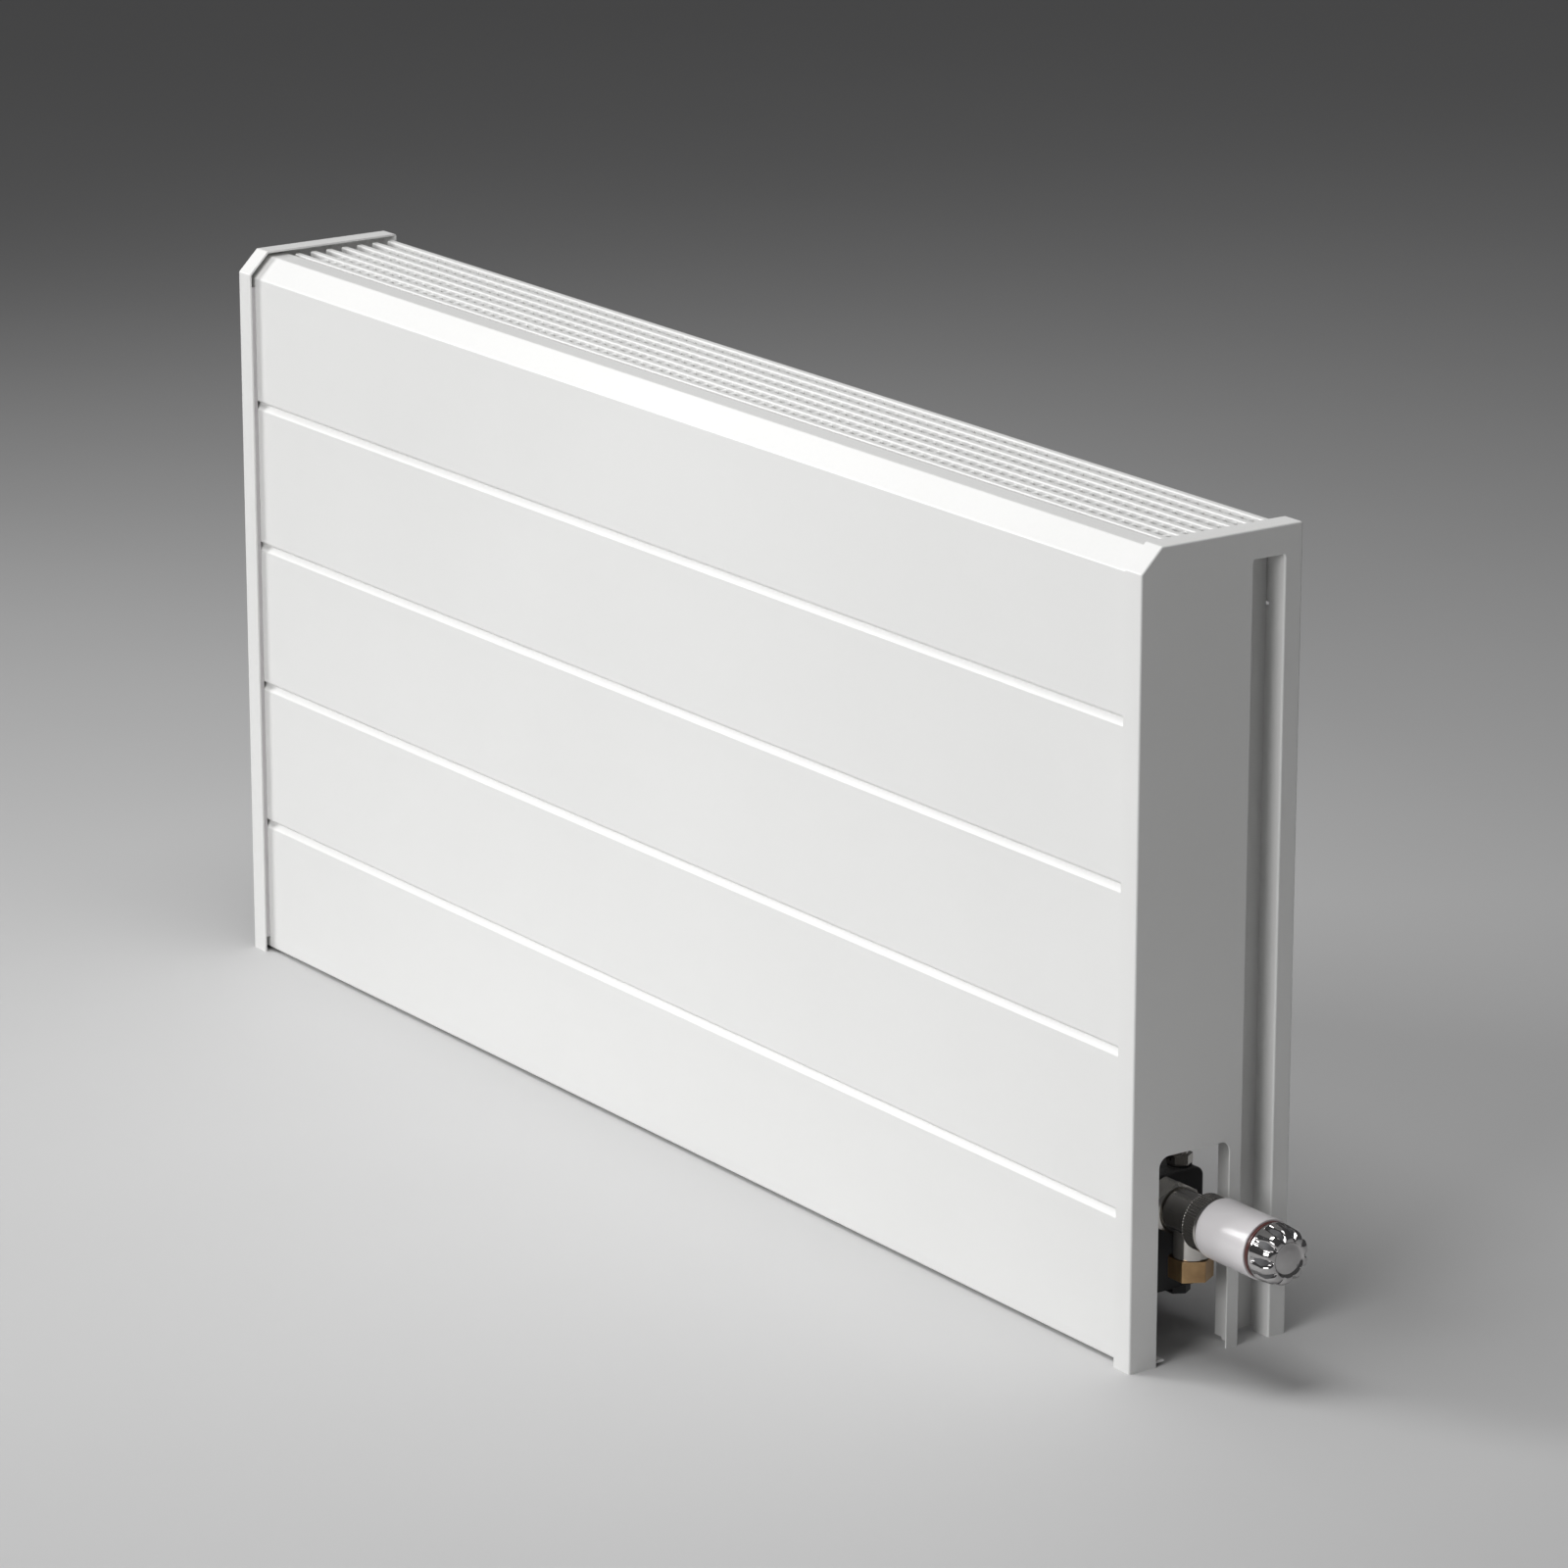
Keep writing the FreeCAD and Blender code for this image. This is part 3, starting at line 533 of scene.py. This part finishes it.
def make_row_tree() -> bpy.types.NodeTree:
    """Repeats the piece along a straight row.

    Returns:
        The tree, with inputs Count, Step and Material.
    """
    tree, source, sink = new_tree("row_of", [("Count", "Int"), ("Step", "Vector"), ("Material", "Material")])
    given = source.outputs
    line = add_node(tree, "GeometryNodeMeshLine", {
        "Count": given["Count"], "Offset": given["Step"]}, mode="OFFSET")
    placed = add_node(tree, "GeometryNodeInstanceOnPoints", {
        "Points": line.outputs["Mesh"], "Instance": given["Geometry"]})
    finish_tree(tree, placed.outputs["Instances"], sink, given["Material"])
    return tree


def make_coil_tree() -> bpy.types.NodeTree:
    """A coil spring about a line along X.

    Returns:
        The tree, with inputs Turns, Radius, Length, Wire, Centre and Material.
    """
    inputs = [(label, "Float") for label in ("Turns", "Radius", "Length", "Wire")]
    tree, source, sink = new_tree("coil_of", inputs + [("Centre", "Vector"), ("Material", "Material")])
    given = source.outputs
    spiral = add_node(tree, "GeometryNodeCurveSpiral", {
        "Resolution": COIL_STEPS, "Rotations": given["Turns"], "Start Radius": given["Radius"],
        "End Radius": given["Radius"], "Height": given["Length"]})
    wire = add_node(tree, "GeometryNodeCurvePrimitiveCircle", {
        "Resolution": WIRE_SIDES, "Radius": given["Wire"]})
    tube = add_node(tree, "GeometryNodeCurveToMesh", {
        "Curve": spiral.outputs["Curve"], "Profile Curve": wire.outputs["Curve"], "Fill Caps": True})
    moved = add_node(tree, "GeometryNodeTransform", {
        "Geometry": tube.outputs["Mesh"], "Translation": given["Centre"],
        "Rotation": (0.0, math.pi / 2, 0.0)})
    finish_tree(tree, moved.outputs["Geometry"], sink, given["Material"])
    return tree


def grow(piece: bpy.types.Object, tree: bpy.types.NodeTree, **values: object) -> bpy.types.Object:
    """Runs a geometry node tree on a piece and keeps the result as its plain mesh.

    Args:
        piece: the object to repeat.
        tree: the geometry node tree.
        values: the tree's inputs by name.

    Returns:
        The same object with its new mesh.
    """
    modifier = piece.modifiers.new("grow", "NODES")
    modifier.node_group = tree
    for item in tree.interface.items_tree:
        if item.item_type == "SOCKET" and item.in_out == "INPUT" and item.name in values:
            modifier[item.identifier] = values[item.name]
    bpy.context.view_layer.update()
    evaluated = piece.evaluated_get(bpy.context.evaluated_depsgraph_get())
    mesh = bpy.data.meshes.new_from_object(evaluated)
    piece.modifiers.clear()
    piece.data = mesh
    mesh.name = piece.name
    return piece


# ---- pieces ----


@dataclass
class Workshop:
    """What every sub-assembly needs: the finishes and the shared trees."""

    paint: PaintShop
    row: bpy.types.NodeTree
    coil: bpy.types.NodeTree

    def fit(self, piece: bpy.types.Object, body: Body, slot: Slot, *nodes: str) -> None:
        """Dresses a piece, puts it on its body and lets it stand for CAD nodes.

        Args:
            piece: the finished object.
            body: the body that it rides on.
            slot: its finish.
            nodes: the CAD nodes that it replaces.
        """
        piece.data.materials.clear()
        piece.data.materials.append(self.paint.materials[slot])
        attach(piece, body.value)
        if nodes:
            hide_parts(*nodes)
        log.info("%s rides on %s with %d faces", piece.name, body.value, len(piece.data.polygons))


@dataclass
class Grille:
    """The lift-out grille's cross rods."""

    shop: Workshop
    rod_radius: float = 1.5 * MM
    rod_pitch: float = 10.4 * MM
    sides: int = 12
    rounding: float = 0.4 * MM

    def build(self) -> None:
        """Makes the cross rods as one row along X."""
        low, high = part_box("grille_cross_rods")
        count = round((high.x - low.x - 2 * self.rod_radius) / self.rod_pitch) + 1
        radius, rim = self.rod_radius, self.rod_radius - self.rounding
        mid_x, mid_z = low.x + radius, (low.z + high.z) / 2
        shape = bmesh.new()
        levels = ((low.y, 0.0), (low.y, rim), (low.y + self.rounding, radius))
        levels += ((high.y - self.rounding, radius), (high.y, rim), (high.y, 0.0))
        rings = []
        for y, r in levels:
            ring = []
            for side in range(self.sides):
                angle = 2 * math.pi * side / self.sides
                across, up = r * math.cos(angle), r * math.sin(angle)
                ring.append(shape.verts.new((mid_x + across, y, mid_z + up)))
            rings.append(ring)
        for here, there in zip(rings, rings[1:]):
            for i in range(self.sides):
                j = (i + 1) % self.sides
                shape.faces.new((here[i], here[j], there[j], there[i]))
        bmesh.ops.remove_doubles(shape, verts=shape.verts, dist=MERGE_WITHIN)
        bmesh.ops.dissolve_degenerate(shape, dist=COLLAPSE_WITHIN, edges=shape.edges)
        rods = to_object("grille_rods", shape, 50.0)
        enamel = self.shop.paint.materials[Slot.ENAMEL]
        grow(rods, self.shop.row, Count=count, Step=(self.rod_pitch, 0.0, 0.0), Material=enamel)
        self.shop.fit(rods, Body.GRILLE, Slot.ENAMEL, "grille_cross_rods")


@dataclass
class HeatExchanger:
    """The fins on the copper tubes."""

    shop: Workshop
    pitch: float = 4.6 * MM
    thickness: float = 0.35 * MM
    ripple: float = 0.55 * MM
    waves: int = 3
    strips: int = 12

    def build(self) -> None:
        """Makes one rippled fin and repeats it along the tubes."""
        low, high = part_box("fin_pack")
        count = int((high.x - low.x - self.thickness - 2 * self.ripple) / self.pitch) + 1
        start = low.x + self.ripple
        shape = bmesh.new()
        sides = []
        for offset in (0.0, self.thickness):
            columns = []
            for i in range(self.strips + 1):
                share = i / self.strips
                x = start + offset + self.ripple * math.sin(2 * math.pi * self.waves * share)
                y = low.y + (high.y - low.y) * share
                columns.append((shape.verts.new((x, y, low.z)), shape.verts.new((x, y, high.z))))
            sides.append(columns)
        near, far = sides
        for i in range(self.strips):
            shape.faces.new((near[i][0], near[i + 1][0], near[i + 1][1], near[i][1]))
            shape.faces.new((far[i][0], far[i][1], far[i + 1][1], far[i + 1][0]))
            for end in (0, 1):
                shape.faces.new((near[i][end], near[i + 1][end], far[i + 1][end], far[i][end]))
        for i in (0, self.strips):
            shape.faces.new((near[i][0], near[i][1], far[i][1], far[i][0]))
        fins = to_object("exchanger_fins", shape, 40.0)
        metal = self.shop.paint.materials[Slot.GRAPHITE]
        grow(fins, self.shop.row, Count=count, Step=(self.pitch, 0.0, 0.0), Material=metal)
        self.shop.fit(fins, Body.RADIATOR, Slot.GRAPHITE, "fin_pack")


@dataclass
class HexNut:
    """A nickel hexagon nut along X with turned chamfers and a bore."""

    name: str
    node: str
    shop: Workshop
    across_flats: float = 30 * MM
    bore: float = 8.4 * MM
    segments: int = 96
    face_share: float = 0.96  # of the half width, where the flat face ends
    corner_share: float = 0.985  # of the full corner, where it is turned off
    chamfer_deg: float = 30.0

    def build(self) -> None:
        """Makes the nut in its CAD node's place."""
        low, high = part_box(self.node)
        flat = self.across_flats / 2
        rim = flat * self.face_share
        slope = math.tan(math.radians(self.chamfer_deg))
        corner = flat / math.cos(math.pi / 6) * self.corner_share

        def profile_at(angle: float) -> Profile:
            """The nut's profile at an angle.

            Args:
                angle: in radians, from the Y direction.

            Returns:
                Its (x, radius) points.
            """
            turn = (angle + math.pi / 6) % (math.pi / 3) - math.pi / 6
            radius = min(flat / math.cos(turn), corner)
            drop = (radius - rim) * slope
            return [(low.x, self.bore), (low.x, rim), (low.x + drop, radius),
                    (high.x - drop, radius), (high.x, rim), (high.x, self.bore)]

        nut = to_object(self.name, turned(profile_at, box_centre(self.node), self.segments), 25.0)
        self.shop.fit(nut, Body.RADIATOR, Slot.NICKEL, self.node)


GRIP_CORNERS = (
    Corner(End.NEAR, 0.0, 0.0),
    Corner(End.NEAR, 0.0, 16.8, 0.3),
    Corner(End.NEAR, 1.4, 18.1, 0.6),
    Corner(End.NEAR, 3.0, 18.1, 0.5),
    Corner(End.FREE, -5.0, 17.4, 1.6),
    Corner(End.FREE, -0.4, 14.6, 2.0),
    Corner(End.FREE, 0.0, 11.0, 0.8),
    Corner(End.FREE, -1.6, 9.4, 0.6),
    Corner(End.FREE, -0.9, 5.0, 1.5),
    Corner(End.FREE, -0.7, 0.0),
)
# Outline of the dark piece inside the grip: painted shade and painted reflection in the flutes, not a part
# of the real head.
PAINTED_SHADE_CORNERS = (
    Corner(End.NEAR, 3.4, 12.0),
    Corner(End.NEAR, 3.4, 16.9, 0.5),
    Corner(End.FREE, -5.0, 16.4, 2.0),
    Corner(End.FREE, -1.6, 12.6, 0.5),
    Corner(End.FREE, -1.9, 11.0),
)


def ramp(value: float, start: float, length: float) -> float:
    """How far a value is along a ramp, from 0 to 1."""
    return min(max((value - start) / length, 0.0), 1.0)


@dataclass
class ThermostatHead:
    """The sleeve, trim ring and grip that turn, and the knurled collar nut that doesn't."""

    shop: Workshop
    segments: int = 160
    bore: float = 14.6 * MM
    mouth_ease: float = 0.3 * MM
    shoulder_length: float = 4.5 * MM
    shoulder_drop: float = 0.2 * MM
    shoulder_rounding: float = 3.2 * MM
    shoulder_blend: float = 1.0 * MM
    sleeve_edge: float = 0.6 * MM
    ring_bore: float = 12 * MM
    ring_edge: float = 0.3 * MM
    flutes: int = 10
    flute_depth: float = 3.0 * MM
    flute_sharpness: float = 2.5
    flute_start: float = 3.2 * MM
    flute_runout: float = 2.0 * MM
    flute_inner_radius: float = 10.5 * MM
    flute_fade: float = 4.0 * MM
    knurl_count: int = 60
    knurl_depth: float = 0.55 * MM
    knurl_steps: int = 8
    collar_bore: float = 15.1 * MM
    collar_mouth: float = 13.1 * MM
    collar_lip: float = 2.0 * MM
    collar_bevel: float = 0.8 * MM
    collar_chamfer: float = 1.0 * MM
    collar_drop: float = 0.1 * MM

    def sleeve(self) -> None:
        """The white sleeve, with a rounded shoulder towards the valve."""
        low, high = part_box("head_sleeve")
        radius = (high.z - low.z) / 2
        corners = [
            (low.x, self.bore + self.mouth_ease, 0.0),
            (low.x, radius - self.shoulder_drop, self.shoulder_rounding),
            (low.x + self.shoulder_length, radius, self.shoulder_blend),
            (high.x, radius, self.sleeve_edge), (high.x, self.bore, 0.0),
        ]
        profile = rounded(corners, 8)
        shape = turned(lambda _: profile, box_centre("head_sleeve"), self.segments)
        self.shop.fit(to_object("white_sleeve", shape), Body.HEAD, Slot.WHITE_PLASTIC, "head_sleeve")

    def ring(self) -> None:
        """The thin ring between sleeve and grip."""
        low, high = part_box("trim_ring")
        radius = (high.z - low.z) / 2
        profile = rounded([(low.x, self.ring_bore, 0.0), (low.x, radius, self.ring_edge),
                           (high.x, radius, self.ring_edge), (high.x, self.ring_bore, 0.0)])
        shape = turned(lambda _: profile, box_centre("trim_ring"), self.segments)
        self.shop.fit(to_object("trim_band", shape), Body.HEAD, Slot.RING_PLASTIC, "trim_ring")

    def grip(self) -> None:
        """The fluted chrome grip with a dished end."""
        low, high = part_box("head_grip")
        smooth = rounded(outline_of(low, high, GRIP_CORNERS), 6, closed=False)
        fluted_from = low.x + self.flute_start

        def profile_at(angle: float) -> Profile:
            """The grip's profile at an angle.

            Args:
                angle: in radians, from the Y direction.

            Returns:
                Its (x, radius) points.
            """
            wave = 0.5 + 0.5 * math.cos(self.flutes * angle)
            cut = self.flute_depth * wave ** self.flute_sharpness
            points = []
            for x, r in smooth:
                inside = ramp(x, fluted_from, self.flute_runout)
                reach = ramp(r, self.flute_inner_radius, self.flute_fade)
                points.append((x, r - cut * inside * reach))
            return points

        shape = turned(profile_at, box_centre("head_grip"), self.segments * 2)
        self.shop.fit(to_object("fluted_grip", shape, 40.0), Body.HEAD, Slot.CHROME, "head_grip")

    def painted_flute_shade(self) -> None:
        """A dark turned piece inside the grip that shows in its flutes: painted shade and painted
        reflection, standing in for the dark that the chrome reflects there.
        """
        low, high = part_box("head_grip")
        profile = rounded(outline_of(low, high, PAINTED_SHADE_CORNERS))
        shape = turned(lambda _: profile, box_centre("head_grip"), self.segments)
        self.shop.fit(to_object("grip_painted_flute_shade", shape), Body.HEAD, Slot.GREY_PLASTIC)

    def collar(self) -> None:
        """The ring nut, with a straight knurl."""
        low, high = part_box("head_collar_nut")
        radius = (high.z - low.z) / 2
        x0, x1 = low.x, high.x
        rim, crest = radius - self.collar_chamfer, radius - self.collar_drop
        bevel, lip = self.collar_bevel, x1 - self.collar_lip

        def profile_at(angle: float) -> Profile:
            """The knurled profile at an angle."""
            root = radius - self.knurl_depth * (0.5 + 0.5 * math.cos(self.knurl_count * angle))
            return [(x0, self.collar_bore), (x0, rim), (x0 + bevel, crest), (x0 + 2 * bevel, root),
                    (x1 - 2 * bevel, root), (x1 - bevel, crest), (x1, rim),
                    (x1, self.collar_mouth), (lip, self.collar_mouth), (lip, self.collar_bore)]

        segments = self.knurl_count * self.knurl_steps
        shape = turned(profile_at, box_centre("head_collar_nut"), segments)
        collar = to_object("knurled_collar", shape, 40.0)
        self.shop.fit(collar, Body.RADIATOR, Slot.NICKEL, "head_collar_nut")

    def build(self) -> None:
        """Makes all the pieces of the head."""
        self.sleeve()
        self.ring()
        self.grip()
        self.painted_flute_shade()
        self.collar()


@dataclass
class ValveInnards:
    """The coil spring inside the valve."""

    shop: Workshop
    wire: float = 0.35 * MM
    turns: float = 4.0
    travel: float = 1.1 * MM

    def build(self) -> None:
        """Makes the spring in its CAD node's place, short enough for the spindle's travel."""
        low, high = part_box("return_spring")
        length = high.x - low.x - 2 * self.wire - self.travel
        y, z = box_centre("return_spring")
        radius = (high.z - low.z) / 2 - self.wire
        mesh = bpy.data.meshes.new("valve_spring")
        spring = bpy.data.objects.new("valve_spring", mesh)
        bpy.context.scene.collection.objects.link(spring)
        steel = self.shop.paint.materials[Slot.STEEL]
        grow(spring, self.shop.coil, Turns=self.turns, Radius=radius, Length=length,
             Wire=self.wire, Centre=(low.x + self.wire, y, z), Material=steel)
        spring.data.shade_smooth()
        self.shop.fit(spring, Body.RADIATOR, Slot.STEEL, "return_spring")


@dataclass
class Rivets:
    """The domed rivet heads inside the casing."""

    shop: Workshop
    head_radius: float = 3.2 * MM
    shank_radius: float = 1.6 * MM
    dome: float = 1.2 * MM
    dome_steps: int = 4
    sides: int = 16
    rows: int = 5

    def one(self, name: str, x: float, y: float, z: float, start: float) -> bpy.types.Object:
        """One rivet: a shank and a dome that faces back.

        Args:
            name: its name.
            x: its place along the casing.
            y: where the dome starts.
            z: its height.
            start: where the shank starts.

        Returns:
            The rivet's object.
        """
        shank = self.shank_radius
        outline = [(start, 0.0), (start, shank), (y, shank), (y, self.head_radius)]
        for step in range(1, self.dome_steps + 1):
            angle = math.pi / 2 * step / self.dome_steps
            outline.append((y + self.dome * math.sin(angle), self.head_radius * math.cos(angle)))
        shape = turned(lambda _: outline, (0.0, 0.0), self.sides)
        turn = Matrix.Translation((x, 0.0, z)) @ Matrix.Rotation(math.pi / 2, 4, "Z")
        bmesh.ops.transform(shape, matrix=turn, verts=shape.verts)
        return to_object(name, shape, 40.0)

    def build(self) -> None:
        """Makes a column of rivets at each end, joined as one piece."""
        low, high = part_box("spacer_rivets")
        pitch = (high.z - low.z - 2 * self.head_radius) / (self.rows - 1)
        steel = self.shop.paint.materials[Slot.STEEL]
        columns = []
        for side, x in (("left", low.x + self.head_radius), ("right", high.x - self.head_radius)):
            rivet = self.one(f"rivets_{side}", x, high.y - self.dome, low.z + self.head_radius, low.y)
            step = (0.0, 0.0, pitch)
            columns.append(grow(rivet, self.shop.row, Count=self.rows, Step=step, Material=steel))
        self.shop.fit(columns[0], Body.RADIATOR, Slot.STEEL, "spacer_rivets")
        self.shop.fit(columns[1], Body.RADIATOR, Slot.STEEL)


# ---- studio ----


@dataclass(frozen=True)
class Lamp:
    """One soft square light: where it hangs, its side in metres, its watts and its beam."""

    name: str
    place: tuple[float, float, float]
    side: float
    power: float
    spread_deg: float


LAMPS = (
    Lamp("key_light", (-2.7, -2.2, 1.9), 1.4, 16.0, 85.0),
    Lamp("front_light", (1.3, -3.6, 1.5), 1.8, 15.5, 85.0),
    Lamp("top_light", (0.1, -0.5, 3.0), 1.6, 14.5, 95.0),
)


@dataclass
class Studio:
    """The floor, the lights and the camera."""

    azimuth_deg: float = 54.825
    elevation_deg: float = 16.539
    distance: float = 4.1003
    lens: float = 152.56
    sensor: float = 36.0
    clip: tuple[float, float] = (0.05, 60.0)
    target: tuple[float, float, float] = (0.1071, -0.059, 0.2767)
    lamps_aim_at: tuple[float, float, float] = (0.0, 0.0, 0.25)
    floor_reach: float = 14.0
    floor_tone: tuple[float, float] = (0.55, 0.60)
    ambient: Colour = (0.14, 0.14, 0.142)
    ambient_strength: float = 0.6

    def floor(self) -> None:
        """A plain pale floor."""
        shape = bmesh.new()
        bmesh.ops.create_grid(shape, x_segments=4, y_segments=4, size=self.floor_reach)
        floor = to_object("studio_floor", shape)
        material = bpy.data.materials.new("floor_finish")
        material.use_nodes = True
        tree = material.node_tree
        shader = tree.nodes["Principled BSDF"]
        place = add_node(tree, "ShaderNodeTexCoord").outputs["Object"]
        noise = add_node(tree, "ShaderNodeTexNoise", {"Vector": place, "Scale": 1.5, "Detail": 3.0})
        darkest, palest = self.floor_tone
        grey = add_node(tree, "ShaderNodeMapRange", {
            "Value": noise.outputs["Fac"], "To Min": darkest, "To Max": palest}).outputs["Result"]
        tone = add_node(tree, "ShaderNodeCombineColor", {"Red": grey, "Green": grey, "Blue": grey})
        tree.links.new(tone.outputs["Color"], shader.inputs["Base Color"])
        shader.inputs["Roughness"].default_value = 0.7
        floor.data.materials.append(material)

    def hang(self, lamp: Lamp) -> None:
        """Hangs one lamp and aims it at the radiator.

        Args:
            lamp: the lamp.
        """
        light = bpy.data.lights.new(lamp.name, "AREA")
        light.size, light.energy, light.spread = lamp.side, lamp.power, math.radians(lamp.spread_deg)
        holder = bpy.data.objects.new(lamp.name, light)
        holder.location = lamp.place
        aim = Vector(self.lamps_aim_at) - Vector(lamp.place)
        holder.rotation_mode = "QUATERNION"
        holder.rotation_quaternion = aim.to_track_quat("-Z", "Y")
        bpy.context.scene.collection.objects.link(holder)

    def camera(self) -> None:
        """The camera at the chosen angle."""
        azimuth, elevation = math.radians(self.azimuth_deg), math.radians(self.elevation_deg)
        back = Vector((math.sin(azimuth) * math.cos(elevation), -math.cos(azimuth) * math.cos(elevation),
                       math.sin(elevation)))
        lens = bpy.data.cameras.new("camera")
        lens.lens, lens.sensor_width = self.lens, self.sensor
        lens.clip_start, lens.clip_end = self.clip
        camera = bpy.data.objects.new("camera", lens)
        camera.location = Vector(self.target) + back * self.distance
        camera.rotation_mode = "QUATERNION"
        camera.rotation_quaternion = (-back).to_track_quat("-Z", "Y")
        bpy.context.scene.collection.objects.link(camera)
        bpy.context.scene.camera = camera

    def build(self) -> None:
        """Sets up the whole studio."""
        self.camera()
        self.floor()
        for lamp in LAMPS:
            self.hang(lamp)
        world = bpy.data.worlds.new("studio")
        world.use_nodes = True
        background = world.node_tree.nodes["Background"]
        background.inputs["Color"].default_value = (*self.ambient, 1.0)
        background.inputs["Strength"].default_value = self.ambient_strength
        bpy.context.scene.world = world
        bpy.context.scene.view_settings.view_transform = "Standard"


def main() -> None:
    """Builds the studio and every sub-assembly."""
    logging.basicConfig(level=logging.INFO, format="%(name)s: %(message)s")
    Studio().build()
    paint = PaintShop()
    paint.open()
    paint.dress_frame()
    shop = Workshop(paint, make_row_tree(), make_coil_tree())
    Grille(shop).build()
    HeatExchanger(shop).build()
    Rivets(shop).build()
    for end in ("flow", "return"):
        HexNut(f"union_nut_{end}", f"{end}_union_nut", shop).build()
    ThermostatHead(shop).build()
    ValveInnards(shop).build()


if __name__ == "__main__":
    main()
